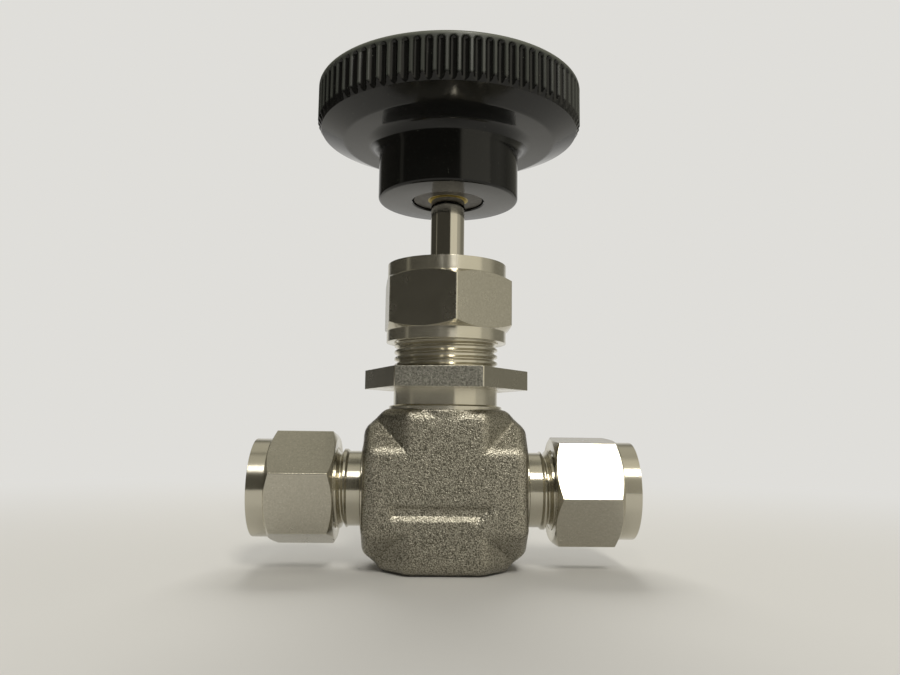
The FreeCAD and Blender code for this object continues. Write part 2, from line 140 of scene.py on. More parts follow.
def outline_wire(name, outline):
    """Wire through (radius, height) points in millimetres, in the XZ plane, joined where it closes."""
    bpy.ops.mesh.primitive_plane_add(size=MM)
    wire = bpy.context.object
    wire.name = name
    start_edit(wire)
    bpy.ops.mesh.merge(type="CENTER")
    last = (0.0, 0.0)
    for index, (radius, height) in enumerate(outline):
        step = ((radius - last[0]) * MM, 0, (height - last[1]) * MM)
        if index == 0:
            bpy.ops.transform.translate(value=step)
        else:
            bpy.ops.mesh.extrude_region_move(TRANSFORM_OT_translate={"value": step})
        last = (radius, height)
    bpy.ops.mesh.select_all(action="SELECT")
    bpy.ops.mesh.remove_doubles(threshold=WELD)
    end_edit()
    return wire


def weigh_edges(piece, weight_of):
    """Gives each edge its share of the next bevel's width, from itself and the angle of its faces."""
    normals = {}
    for face in piece.data.polygons:
        for key in face.edge_keys:
            normals.setdefault(key, []).append(face.normal.copy())
    weights = piece.data.attributes.new("bevel_weight_edge", "FLOAT", "EDGE")
    for edge in piece.data.edges:
        first, second = normals[edge.key]
        weights.data[edge.index].value = weight_of(edge, first.angle(second))


def forged_arm(name, flat, along_stem):
    """One arm of the cross: a block with its corners cut, its sides drafted and its edges rounded."""
    half_length, half_depth = BODY_LENGTH / 2, BODY_DEPTH / 2
    bpy.ops.mesh.primitive_cube_add(size=1, location=(0, 0, BODY_TOP / 2 * MM),
                                    scale=(BODY_LENGTH * MM, BODY_DEPTH * MM, BODY_TOP * MM))
    arm = settle(bpy.context.object, name)
    for side in (-1, 1):
        trim(arm, (side * (half_length - CORNER_CUT), 0, 0), (side, 0, -1))
        trim(arm, (side * (half_length - CORNER_CUT), 0, BODY_TOP), (side, 0, 1))
        for face in (-1, 1):
            if along_stem:
                trim(arm, (side * flat / 2, face * half_depth, 0), (side, face, 0))
            else:
                trim(arm, (0, face * half_depth, PORT_HEIGHT + side * flat / 2), (0, face, side))
    start_edit(arm)
    bpy.ops.mesh.dissolve_limited(angle_limit=math.radians(1))
    end_edit()
    weigh_edges(arm, lambda edge, angle: min(1.0, math.tan(angle / 2)))
    finish_with(arm, "BEVEL", limit_method="WEIGHT", width=FORGING_RADIUS * MM,
                segments=ROUNDING_SEGMENTS)
    return arm


def add_node(look, kind, inputs, **settings):
    """Adds a node to a finish or to the room, and gives its outputs. An input that is a socket is linked."""
    node = look.node_tree.nodes.new("ShaderNode" + kind)
    for key, value in settings.items():
        setattr(node, key, value)
    for key, value in inputs.items():
        if isinstance(value, bpy.types.NodeSocket):
            look.node_tree.links.new(value, node.inputs[key])
        else:
            node.inputs[key].default_value = value
    return node.outputs


def calculate(look, operation, *values):
    """A number worked out from one or two numbers."""
    return add_node(look, "Math", dict(enumerate(values)), operation=operation)[0]


def rise(look, value, start, end, low=0.0, high=1.0, eased=False):
    """Goes from low to high while a value goes from start to end."""
    return add_node(look, "MapRange", {"Value": value, "From Min": start, "From Max": end, "To Min": low,
                                       "To Max": high},
                    interpolation_type="SMOOTHSTEP" if eased else "LINEAR")[0]


def noise(look, place, scale, detail, roughness=0.5):
    """Cloudy pattern from 0 to 1. The scale is its grains in a metre."""
    return add_node(look, "TexNoise", {"Vector": place, "Scale": scale, "Detail": detail,
                                       "Roughness": roughness})[0]


def two_tone(finish, pattern, band, dark, light):
    """Colours a pattern dark below a band of its values and light above it."""
    colour = add_node(finish, "ValToRGB", {"Fac": pattern})[0]
    for stop, position, tone in zip(colour.node.color_ramp.elements, band, (dark, light)):
        stop.position = position
        stop.color = tone
    return colour


def new_finish(name, colour, metallic, roughness, **shader_values):
    """A finish with its constant values set on its shader."""
    finish = bpy.data.materials.new(name)
    finish.use_nodes = True
    shader = finish.node_tree.nodes["Principled BSDF"]
    constants = {"Base_Color": colour, "Metallic": metallic, "Roughness": roughness, **shader_values}
    for key, value in constants.items():
        shader.inputs[key.replace("_", " ")].default_value = value
    return finish


def feed(finish, key, pattern):
    """Links a pattern to one input of a finish's shader."""
    finish.node_tree.links.new(pattern, finish.node_tree.nodes["Principled BSDF"].inputs[key])


def vary_roughness(finish, pattern, low, high):
    """Spreads the shader's roughness between two values by a 0 to 1 pattern."""
    feed(finish, "Roughness", rise(finish, pattern, 0.0, 1.0, low, high))


def object_place(finish):
    """Place on the piece, in metres."""
    return add_node(finish, "TexCoord", {})["Object"]


def relief(finish, height, depth):
    """Small relief of the surface, as deep as the given millimetres."""
    feed(finish, "Normal", add_node(finish, "Bump", {"Height": height, "Distance": depth * MM,
                                                     "Strength": 1.0})[0])


def forged_finish():
    """Blasted forging skin: pebbled, warm grey, a little darker in its pits."""
    finish = new_finish("forged_steel", FORGED_LIGHT, metallic=1.0, roughness=0.38)
    place = object_place(finish)
    pebbles = add_node(finish, "TexVoronoi", {"Vector": place, "Scale": 5200.0, "Smoothness": 0.7},
                       feature="SMOOTH_F1")[0]
    grain = noise(finish, place, scale=6200.0, detail=3.0, roughness=0.6)
    patches = noise(finish, place, scale=420.0, detail=2.0)
    feed(finish, "Base Color", two_tone(finish, grain, FORGED_PITS, FORGED_DARK, FORGED_LIGHT))
    vary_roughness(finish, patches, *FORGED_ROUGHNESS)
    relief(finish, calculate(finish, "ADD", pebbles, grain), depth=0.05)
    return finish


def dress(piece, finish):
    """Gives a whole piece one finish."""
    piece.data.materials.clear()
    piece.data.materials.append(finish)
    piece.data.polygons.foreach_set("material_index", [0] * len(piece.data.polygons))


body_forging = forged_arm("body_forging", STEM_ARM_FLAT, True)
machine(body_forging, forged_arm("port_arm", PORT_ARM_FLAT, False), "UNION")
boss = round_bar("boss", BOSS_RADIUS, (0, 0, PORT_HEIGHT), (0, 0, BOSS_TOP), BOSS_SEGMENTS)
machine(body_forging, boss, "UNION")

arrow_tip = ARROW_LENGTH / 2
arrow_heel = arrow_tip - ARROW_HEAD
arrow_low = ARROW_TOP - ARROW_WIDTH
arrow_stamp = outline_wire("arrow_stamp", [
    (-arrow_tip, ARROW_TOP), (-arrow_tip, arrow_low), (arrow_heel, arrow_low),
    (arrow_heel, arrow_low - ARROW_BARB), (arrow_tip, ARROW_TOP), (-arrow_tip, ARROW_TOP)])
arrow_stamp.location = (0, -BODY_DEPTH / 2 * MM, 0)
settle(arrow_stamp, "arrow_stamp")
start_edit(arrow_stamp)
bpy.ops.mesh.edge_face_add()
bpy.ops.mesh.inset(thickness=ARROW_SLOPE * MM, depth=ARROW_DEPTH * MM)
bpy.ops.mesh.select_all(action="DESELECT")
bpy.ops.mesh.select_non_manifold()
bpy.ops.mesh.extrude_region_move(TRANSFORM_OT_translate={"value": (0, -TOOL_OVERCUT * MM, 0)})
bpy.ops.mesh.edge_face_add()
bpy.ops.mesh.select_all(action="SELECT")
bpy.ops.mesh.normals_make_consistent(inside=False)
end_edit()
machine(body_forging, arrow_stamp)

for side in (-1, 1):
    pocket_end = (side * (BODY_LENGTH / 2 + TOOL_OVERCUT), 0, PORT_HEIGHT)
    machine(body_forging, round_bar("port_pocket", PORT_POCKET_RADIUS,
                                    (side * PORT_POCKET_END, 0, PORT_HEIGHT), pocket_end))
machine(body_forging, round_bar("stem_pocket", STEM_POCKET_RADIUS, (0, 0, STEM_POCKET_FLOOR),
                                (0, 0, BODY_TOP + TOOL_OVERCUT)))

finish_with(body_forging, "REMESH", mode="VOXEL", voxel_size=SKIN_STEP * MM)
finish_with(body_forging, "SMOOTH", iterations=SKIN_SMOOTHING)
blasting = bpy.data.textures.new("blasting", "CLOUDS")
blasting.noise_scale = BLASTING_SIZE * MM
blasting.noise_depth = 1
finish_with(body_forging, "DISPLACE", texture=blasting, strength=SKIN_DENT * MM, mid_level=1.0)
pick(body_forging)
bpy.ops.object.shade_smooth()
dress(body_forging, forged_finish())
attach(body_forging, "fixed_body")
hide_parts("valve_body")

# Bonnet
# The bonnet is turned from the same forging as the body: a low collar where it leaves the forged skin, a
# smooth neck for the panel, then a right-hand thread for the two nuts, up to the packing chamber's mouth.
BONNET_ROOT = 20.0
TOP_COLLAR_RADIUS = 8.15
COLLAR_BOTTOM = 21.9
COLLAR_TOP = 22.65
BONNET_RADIUS = 7.51
BONNET_TOP = 39.3
BONNET_THREAD_START = 25.47
BONNET_PITCH = 0.977
PACKING_BORE_RADIUS = 4.3
PACKING_FLOOR = 31.3
STEM_THREAD_BORE_RADIUS = 3.44
BONNET_CHAMFER = 0.45
SMALL_CHAMFER = 0.12
THREAD_ROOT_FLAT = 0.12
THREAD_CREST_FLAT = 0.3
THREAD_OVERCUT = 0.15
THREAD_FLARE = 0.4
LATHE_SEGMENTS = 144
SMOOTH_ANGLE = 28.0
WALL_WEIGHT = 90
TURNED_COLOUR = (0.6, 0.57, 0.48, 1)
TURNED_ROUGHNESS = (0.2, 0.35)
TURNED_DRAWING_OUT = 0.92
ALONG_AXIS = 0.25


def lathe(piece, rise_per_turn, segments, turns=1):
    """Sweeps a wire about Z, straight round or climbing as a thread does."""
    finish_with(piece, "SCREW", axis="Z", angle=2 * math.pi, screw_offset=rise_per_turn * MM,
                iterations=turns, steps=segments, render_steps=segments, use_merge_vertices=True,
                merge_threshold=WELD)


def turn(name, outline, segments=LATHE_SEGMENTS):
    """Turned piece about Z from the closed section of its wall, or an open one that ends on the axis."""
    piece = outline_wire(name, outline)
    lathe(piece, 0, segments)
    start_edit(piece)
    bpy.ops.mesh.remove_doubles(threshold=WELD)
    bpy.ops.mesh.normals_make_consistent(inside=False)
    end_edit()
    return piece


def cut_thread(piece, crest_radius, pitch, start, end):
    """Cuts a right-hand 60 degree thread in a turned piece along Z, between two heights."""
    half_mouth = (pitch - THREAD_CREST_FLAT) / 2
    half_root = THREAD_ROOT_FLAT / 2
    half_outer = half_mouth + THREAD_OVERCUT / math.sqrt(3) * THREAD_FLARE
    root_radius = crest_radius - (half_mouth - half_root) * math.sqrt(3)
    outline = [(root_radius, start - half_root), (root_radius, start + half_root),
               (crest_radius, start + half_mouth), (crest_radius + THREAD_OVERCUT, start + half_outer),
               (crest_radius + THREAD_OVERCUT, start - half_outer), (crest_radius, start - half_mouth),
               (root_radius, start - half_root)]
    tool = outline_wire("thread_tool", outline)
    lathe(tool, pitch, LATHE_SEGMENTS, turns=math.ceil((end - start) / pitch))
    start_edit(tool)
    bpy.ops.mesh.fill_holes(sides=len(outline))
    bpy.ops.mesh.normals_make_consistent(inside=False)
    end_edit()
    machine(piece, tool)


def shade(piece):
    """Smooth shading over a turned piece's facets and bevels, with walls that stay true to their shape."""
    pick(piece)
    bpy.ops.object.shade_smooth_by_angle(angle=math.radians(SMOOTH_ANGLE))
    finish_with(piece, "WEIGHTED_NORMAL", keep_sharp=True, weight=WALL_WEIGHT)


def from_axis(finish, place):
    """Distance of a place from the axis of Z."""
    across = add_node(finish, "VectorMath", {0: place, 1: (1, 1, 0)}, operation="MULTIPLY")[0]
    return add_node(finish, "VectorMath", {0: across}, operation="LENGTH")["Value"]


def turning_lines(finish, along_port):
    """Fine rings left by the lathe, about the stem's axis or the port's."""
    place = object_place(finish)
    if along_port:
        place = add_node(finish, "Mapping", {"Vector": place, "Location": (0, 0, -PORT_HEIGHT * MM)})[0]
        place = add_node(finish, "Mapping", {"Vector": place, "Rotation": (0, math.radians(90), 0)})[0]
    height = add_node(finish, "SeparateXYZ", {0: place})["Z"]
    rings = add_node(finish, "CombineXYZ", {"X": from_axis(finish, place), "Z": height})[0]
    return noise(finish, rings, scale=7000.0, detail=3.0, roughness=0.7)


def turned_finish(name, along_port):
    """Bright turned steel: its fine tool rings draw reflections out across them, along the axis."""
    finish = new_finish(name, TURNED_COLOUR, metallic=1.0, roughness=0.25,
                        Anisotropic=TURNED_DRAWING_OUT, Anisotropic_Rotation=ALONG_AXIS)
    rings = turning_lines(finish, along_port)
    feed(finish, "Tangent", add_node(finish, "Tangent", {}, direction_type="RADIAL",
                                     axis="X" if along_port else "Z")[0])
    marks = noise(finish, object_place(finish), scale=700.0, detail=5.0, roughness=0.65)
    shine = calculate(finish, "MULTIPLY", rings, marks)
    vary_roughness(finish, shine, *TURNED_ROUGHNESS)
    relief(finish, rings, depth=0.004)
    return finish


turned_on_stem_axis = turned_finish("turned_steel_stem_axis", False)
turned_on_port_axis = turned_finish("turned_steel_port_axis", True)

body_bonnet = turn("body_bonnet", [
    (STEM_THREAD_BORE_RADIUS, BONNET_ROOT), (BONNET_RADIUS, BONNET_ROOT), (BONNET_RADIUS, COLLAR_BOTTOM),
    (TOP_COLLAR_RADIUS, COLLAR_BOTTOM),
    (TOP_COLLAR_RADIUS, COLLAR_TOP - SMALL_CHAMFER), (TOP_COLLAR_RADIUS - SMALL_CHAMFER, COLLAR_TOP),
    (BONNET_RADIUS + SMALL_CHAMFER, COLLAR_TOP), (BONNET_RADIUS, COLLAR_TOP + SMALL_CHAMFER),
    (BONNET_RADIUS, BONNET_TOP - BONNET_CHAMFER), (BONNET_RADIUS - BONNET_CHAMFER, BONNET_TOP),
    (PACKING_BORE_RADIUS + SMALL_CHAMFER, BONNET_TOP), (PACKING_BORE_RADIUS, BONNET_TOP - SMALL_CHAMFER),
    (PACKING_BORE_RADIUS, PACKING_FLOOR), (STEM_THREAD_BORE_RADIUS, PACKING_FLOOR),
    (STEM_THREAD_BORE_RADIUS, BONNET_ROOT)])
cut_thread(body_bonnet, BONNET_RADIUS, BONNET_PITCH, BONNET_THREAD_START, BONNET_TOP + BONNET_PITCH)
shade(body_bonnet)
dress(body_bonnet, turned_on_stem_axis)
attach(body_bonnet, "fixed_body")
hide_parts("valve_body")

# Tube stubs
# Each end of the body is turned to a smooth shank and a threaded nose, bored for the tube and coned at its
# mouth for the front ferrule. The flow passage slants away from the bottom of the socket.
STUB_ROOT = 5.0
STUB_RADIUS = 5.25
PORT_COLLAR_RADIUS = 6.6
PORT_COLLAR_START = BODY_LENGTH / 2 - 1.0
PORT_COLLAR_END = 11.55
STUB_THREAD_RADIUS = 5.555
STUB_THREAD_START = 13.45
STUB_PITCH = 1.27
STUB_END = 20.4
STUB_CHAMFER = 0.35
MOUTH_START = 17.8
MOUTH_RADIUS = 3.485
MOUTH_END_RADIUS = 4.04
TUBE_BORE_RADIUS = 3.235
SOCKET_BOTTOM = 11.53
PASSAGE_RADIUS = 2.0
PASSAGE_END = 8.3
PASSAGE_SLOPES = {"inlet": -0.54, "outlet": 0.216}
PORT_SIDES = {"inlet": -1, "outlet": 1}


def toward_port(piece, side):
    """Turns a piece built along +Z so that it points along the inlet (-1) or outlet (+1) port."""
    piece.rotation_euler = (0, math.radians(90 * side), 0)
    piece.location = (0, 0, PORT_HEIGHT * MM)
    settle(piece, piece.name)


stub_outline = [
    (0, STUB_ROOT), (STUB_RADIUS, STUB_ROOT), (STUB_RADIUS, PORT_COLLAR_START),
    (PORT_COLLAR_RADIUS, PORT_COLLAR_START), (PORT_COLLAR_RADIUS, PORT_COLLAR_END - SMALL_CHAMFER),
    (PORT_COLLAR_RADIUS - SMALL_CHAMFER, PORT_COLLAR_END), (STUB_RADIUS + SMALL_CHAMFER, PORT_COLLAR_END),
    (STUB_RADIUS, PORT_COLLAR_END + SMALL_CHAMFER), (STUB_RADIUS, STUB_THREAD_START),
    (STUB_THREAD_RADIUS, STUB_THREAD_START + STUB_THREAD_RADIUS - STUB_RADIUS),
    (STUB_THREAD_RADIUS, STUB_END - STUB_CHAMFER), (STUB_THREAD_RADIUS - STUB_CHAMFER, STUB_END),
    (MOUTH_END_RADIUS, STUB_END), (MOUTH_RADIUS, MOUTH_START), (TUBE_BORE_RADIUS, MOUTH_START),
    (TUBE_BORE_RADIUS, SOCKET_BOTTOM), (0, SOCKET_BOTTOM)]
for port, side in PORT_SIDES.items():
    stub = turn("body_" + port + "_stub", stub_outline)
    cut_thread(stub, STUB_THREAD_RADIUS, STUB_PITCH, STUB_THREAD_START, STUB_END + STUB_PITCH)
    toward_port(stub, side)
    slope = PASSAGE_SLOPES[port]
    passage_start = (side * PASSAGE_END, 0, PORT_HEIGHT + (SOCKET_BOTTOM - PASSAGE_END) * slope)
    passage_end = (side * (SOCKET_BOTTOM + TOOL_OVERCUT), 0, PORT_HEIGHT - TOOL_OVERCUT * slope)
    machine(stub, round_bar("passage", PASSAGE_RADIUS, passage_start, passage_end))
    shade(stub)
    dress(stub, turned_on_port_axis)
    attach(stub, "fixed_body")
    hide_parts("valve_body")

# Stem
# The stem is one turned and polished stainless rod. Its shank shows between packing nut and handle; below,
# inside the bonnet, it carries its thread, the seat cone and the long regulating needle.
NEEDLE_END = 5.788
NEEDLE_END_RADIUS = 1.1
SEAT_CONE_BOTTOM = 10.788
SEAT_CONE_TOP = 11.827
NEEDLE_SHOULDER_RADIUS = 2.0
STEM_TIP_RADIUS = 2.6
STEM_THREAD_BOTTOM = 19.159
STEM_THREAD_TOP = 28.559
STEM_THREAD_RADIUS = 3.4
STEM_PITCH = 0.907
STEM_RADIUS = 2.5
STEM_TOP = 60.35
POLISHED_COLOUR = (0.6, 0.57, 0.495, 1)
POLISHED_ROUGHNESS = (0.05, 0.16)


def polished_finish():
    """Polished rod: a clear reflection over faint rings."""
    finish = new_finish("polished_steel", POLISHED_COLOUR, metallic=1.0, roughness=0.1)
    rings = turning_lines(finish, False)
    vary_roughness(finish, rings, *POLISHED_ROUGHNESS)
    relief(finish, rings, depth=0.0012)
    return finish


stem = turn("regulating_stem", [
    (0, NEEDLE_END), (NEEDLE_END_RADIUS, NEEDLE_END), (NEEDLE_SHOULDER_RADIUS, SEAT_CONE_BOTTOM),
    (STEM_TIP_RADIUS, SEAT_CONE_TOP), (STEM_TIP_RADIUS, STEM_THREAD_BOTTOM),
    (STEM_THREAD_RADIUS, STEM_THREAD_BOTTOM), (STEM_THREAD_RADIUS, STEM_THREAD_TOP),
    (STEM_RADIUS, STEM_THREAD_TOP), (STEM_RADIUS, STEM_TOP - SMALL_CHAMFER),
    (STEM_RADIUS - SMALL_CHAMFER, STEM_TOP), (0, STEM_TOP)])
cut_thread(stem, STEM_THREAD_RADIUS, STEM_PITCH, STEM_THREAD_BOTTOM, STEM_THREAD_TOP)
shade(stem)
dress(stem, polished_finish())
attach(stem, "stem_carriage")
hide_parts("stem")

# Packing
# A washer, a ridged base ring, two vee rings, a top ring and a hard support ring lie in the bonnet round
# the stem, and the gland presses them. They are pressed or moulded rings that keep their plain shapes.
PACKING_COLOUR = (0.83, 0.82, 0.78, 1)
PACKING_ROUGHNESS = (0.36, 0.55)
SOFT_RINGS = ("packing_base_ring", "packing_vee_ring_1", "packing_vee_ring_2", "packing_top_ring")
HARD_RINGS = ("packing_washer", "packing_support", "packing_gland")


def packing_finish():
    """White fluoropolymer: waxy, a little translucent, with soft pressing marks."""
    finish = new_finish("packing_white", PACKING_COLOUR, metallic=0.0, roughness=0.45,
                        Subsurface_Weight=0.1, Subsurface_Scale=0.0006)
    marks = noise(finish, object_place(finish), scale=900.0, detail=3.0)
    vary_roughness(finish, marks, *PACKING_ROUGHNESS)
    relief(finish, marks, depth=0.01)
    return finish


def coat(node_names, finish):
    """Gives CAD nodes their finish through their objects' material slots."""
    for node_name in node_names:
        for material_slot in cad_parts[node_name].material_slots:
            material_slot.link = "OBJECT"
            material_slot.material = finish


coat(SOFT_RINGS, packing_finish())
coat(HARD_RINGS, turned_on_stem_axis)

# Packing nut
# A hexagon bar nut: a turned ring above the flats, a turned collar below them, the corners of the flats
# turned off at 30 degrees, and a hole in its roof that the stem passes through.
PACKING_NUT_FLATS = 17.4625
PACKING_NUT_ROTATION = 36.3
PACKING_NUT_BOTTOM = 31.77
PACKING_HEX_BOTTOM = 33.37
PACKING_HEX_TOP = 41.27
PACKING_NUT_TOP = 43.17
PACKING_ROUND_RADIUS = 8.715
PACKING_ROOF_BOTTOM = 40.47
PACKING_HOLE_RADIUS = 2.8
NUT_THREAD_CLEARANCE = 0.04
NUT_MOUTH_CHAMFER = 0.15
NUT_EDGE_BEVEL = 0.07
NUT_CORNER_ROUNDING = 0.16
CORNER_SLOPE = math.tan(math.radians(30))
CORNER_MARGIN = 0.01
CORNER_ANGLE = 50.0
UPRIGHT = 0.99
SHARP_ANGLE = 35.0
SMALLEST_FLAT = 4.0
FLAT_TILT = 0.01
FLAT_TURN = 0.5
MILLED_COLOUR = (0.64, 0.61, 0.52, 1)
MILLED_DARK = (0.37, 0.35, 0.29, 1)
MILLED_ROUGHNESS = (0.22, 0.3)
SPECK_COLOUR = (0.68, 0.65, 0.56, 1)
SPECK_BAND = (0.68, 0.76)


def mix(look, share, first, second):
    """Goes from the first colour to the second as the share goes from 0 to 1."""
    return add_node(look, "MixRGB", {"Fac": share, "Color1": first, "Color2": second})[0]


def milled_finish():
    """Satin flats of drawn bar: a fine grain with faint clouds and tiny bright nicks."""
    finish = new_finish("milled_steel", MILLED_COLOUR, metallic=1.0, roughness=0.24)
    place = object_place(finish)
    grain = noise(finish, place, scale=3600.0, detail=3.0, roughness=0.7)
    clouds = noise(finish, place, scale=380.0, detail=3.0, roughness=0.6)
    nicks = rise(finish, noise(finish, place, scale=4600.0, detail=1.0), *SPECK_BAND)
    colour = mix(finish, grain, MILLED_DARK, MILLED_COLOUR)
    feed(finish, "Base Color", mix(finish, nicks, colour, SPECK_COLOUR))
    vary_roughness(finish, clouds, *MILLED_ROUGHNESS)
    relief(finish, grain, depth=0.003)
    return finish


def hexagon_bar(name, flats, corner_at, start, end):
    """Hexagonal bar along Z between two heights, with one corner at the given angle."""
    bpy.ops.mesh.primitive_cylinder_add(vertices=6, radius=flats / math.sqrt(3) * MM,
                                        depth=(end - start) * MM, location=(0, 0, (start + end) / 2 * MM),
                                        rotation=(0, 0, math.radians(corner_at - 30)))
    return settle(bpy.context.object, name)


def hexagon_nut(name, outline, flats, corner_at, edge_bevel, turned):
    """Nut along Z: turned to its outline, cut to a hexagon, its edges dulled, its flats milled."""
    nut = turn(name, outline)
    heights = [height for radius, height in outline]
    machine(nut, hexagon_bar("hexagon_tool", flats, corner_at, min(heights) - TOOL_OVERCUT,
                             max(heights) + TOOL_OVERCUT), "INTERSECT")

    def corner_share(edge, angle):
        """1 for an upright corner between two flats, and 0 for every other edge."""
        ends = [nut.data.vertices[index].co for index in edge.vertices]
        run = ends[1] - ends[0]
        return float(abs(run.z) > UPRIGHT * run.length and angle > math.radians(CORNER_ANGLE))

    weigh_edges(nut, corner_share)
    finish_with(nut, "BEVEL", limit_method="WEIGHT", width=NUT_CORNER_ROUNDING * MM, segments=3,
                use_clamp_overlap=False)
    finish_with(nut, "BEVEL", limit_method="ANGLE", angle_limit=math.radians(SHARP_ANGLE),
                width=edge_bevel * MM, segments=2)
    shade(nut)
    dress(nut, turned)
    nut.data.materials.append(milled_flats)
    for face in nut.data.polygons:
        past_flat = (math.degrees(math.atan2(face.normal.y, face.normal.x)) - corner_at - 30) % 60
        on_flat = abs(face.normal.z) < FLAT_TILT and min(past_flat, 60 - past_flat) < FLAT_TURN
        if on_flat and face.area > SMALLEST_FLAT * MM * MM:
            face.material_index = 1
    return nut


milled_flats = milled_finish()
packing_corner = PACKING_NUT_FLATS / math.sqrt(3) + CORNER_MARGIN
packing_drop = (packing_corner - PACKING_ROUND_RADIUS) * CORNER_SLOPE
bonnet_thread_hole = BONNET_RADIUS + NUT_THREAD_CLEARANCE
packing_mouth = bonnet_thread_hole + NUT_MOUTH_CHAMFER
packing_nut = hexagon_nut("packing_nut_dressed", [
    (packing_mouth, PACKING_NUT_BOTTOM), (PACKING_ROUND_RADIUS, PACKING_NUT_BOTTOM),
    (PACKING_ROUND_RADIUS, PACKING_HEX_BOTTOM), (packing_corner, PACKING_HEX_BOTTOM + packing_drop),
    (packing_corner, PACKING_HEX_TOP - packing_drop), (PACKING_ROUND_RADIUS, PACKING_HEX_TOP),
    (PACKING_ROUND_RADIUS, PACKING_NUT_TOP), (PACKING_HOLE_RADIUS + NUT_MOUTH_CHAMFER, PACKING_NUT_TOP),
    (PACKING_HOLE_RADIUS, PACKING_NUT_TOP - NUT_MOUTH_CHAMFER),
    (PACKING_HOLE_RADIUS, PACKING_ROOF_BOTTOM), (bonnet_thread_hole, PACKING_ROOF_BOTTOM),
    (bonnet_thread_hole, PACKING_NUT_BOTTOM + NUT_MOUTH_CHAMFER), (packing_mouth, PACKING_NUT_BOTTOM)],
    PACKING_NUT_FLATS, PACKING_NUT_ROTATION, NUT_EDGE_BEVEL, turned_on_stem_axis)
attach(packing_nut, "packing_nut_spinner")
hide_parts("packing_nut")

# Panel nut
# The thin nut clamps the valve in a panel. It is sliced from hexagon bar: its faces above and below are
# turned, and its sides keep the bar's skin, rough and speckled at front and back and smoother between.
PANEL_NUT_FLATS = 20.6375
PANEL_NUT_ROTATION = -6.3
PANEL_NUT_BOTTOM = 25.03
PANEL_NUT_TOP = 27.78
PANEL_MOUTH_CHAMFER = 0.25
PANEL_CORNER_MARGIN = 0.1
PANEL_EDGE_BEVEL = 0.05
FACING_FRONT = 0.8
ROUGH_BAR_LIGHT = (0.41, 0.4, 0.35, 1)
ROUGH_BAR_DARK = (0.15, 0.147, 0.127, 1)
ROUGH_BAR_PITS = (0.36, 0.62)
ROUGH_BAR_ROUGHNESS = (0.32, 0.55)


def rough_bar_finish():
    """Rough bar skin: coarse grey speckle with bright and dark grains."""
    finish = new_finish("rough_bar_steel", ROUGH_BAR_LIGHT, metallic=1.0, roughness=0.42)
    place = object_place(finish)
    grains = add_node(finish, "TexVoronoi", {"Vector": place, "Scale": 5600.0}, feature="F1")[0]
    speckle = noise(finish, place, scale=3800.0, detail=4.0, roughness=0.7)
    feed(finish, "Base Color", two_tone(finish, speckle, ROUGH_BAR_PITS, ROUGH_BAR_DARK, ROUGH_BAR_LIGHT))
    vary_roughness(finish, speckle, *ROUGH_BAR_ROUGHNESS)
    relief(finish, calculate(finish, "ADD", grains, speckle), depth=0.03)
    return finish


panel_corner = PANEL_NUT_FLATS / math.sqrt(3) + PANEL_CORNER_MARGIN
panel_mouth = bonnet_thread_hole + PANEL_MOUTH_CHAMFER
panel_nut = hexagon_nut("panel_nut_dressed", [
    (panel_mouth, PANEL_NUT_BOTTOM), (panel_corner, PANEL_NUT_BOTTOM), (panel_corner, PANEL_NUT_TOP),
    (panel_mouth, PANEL_NUT_TOP), (bonnet_thread_hole, PANEL_NUT_TOP - PANEL_MOUTH_CHAMFER),
    (bonnet_thread_hole, PANEL_NUT_BOTTOM + PANEL_MOUTH_CHAMFER), (panel_mouth, PANEL_NUT_BOTTOM)],
    PANEL_NUT_FLATS, PANEL_NUT_ROTATION, PANEL_EDGE_BEVEL, turned_on_stem_axis)
panel_nut.data.materials.append(rough_bar_finish())
for face in panel_nut.data.polygons:
    if face.material_index == 1 and abs(face.normal.y) > FACING_FRONT:
        face.material_index = 2
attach(panel_nut, "panel_nut_carriage")
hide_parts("panel_nut")

# Ferrules
# Two turned rings in each tube nut, coned towards the stub: the front one seals in the stub's mouth, and
# the back one grips the tube. They keep their plain turned shapes.
for port in PORT_SIDES:
    coat((port + "_front_ferrule", port + "_back_ferrule"), turned_on_port_axis)

# Tube nuts
# Hexagon nuts of stainless bar at both ends, with a turned round ring at the tube's end. The corners of
# the flats are turned off at 30 degrees, and the thread inside pulls the nut over the stub.
TUBE_NUT_FLATS = 14.2875
TUBE_HEX_START = 15.18
TUBE_HEX_END = 24.43
TUBE_NUT_END = 26.73
TUBE_RING_RADIUS = 6.84
TUBE_START_RADIUS = 7.1
TUBE_MOUTH_CHAMFER = 0.3
FERRULE_POCKET_RADIUS = 4.35
FERRULE_POCKET_START = 21.86
FERRULE_SHOULDER = 23.23
TUBE_NUT_ROTATIONS = {"inlet": 90 - 43.2, "outlet": 90 + 64.6}

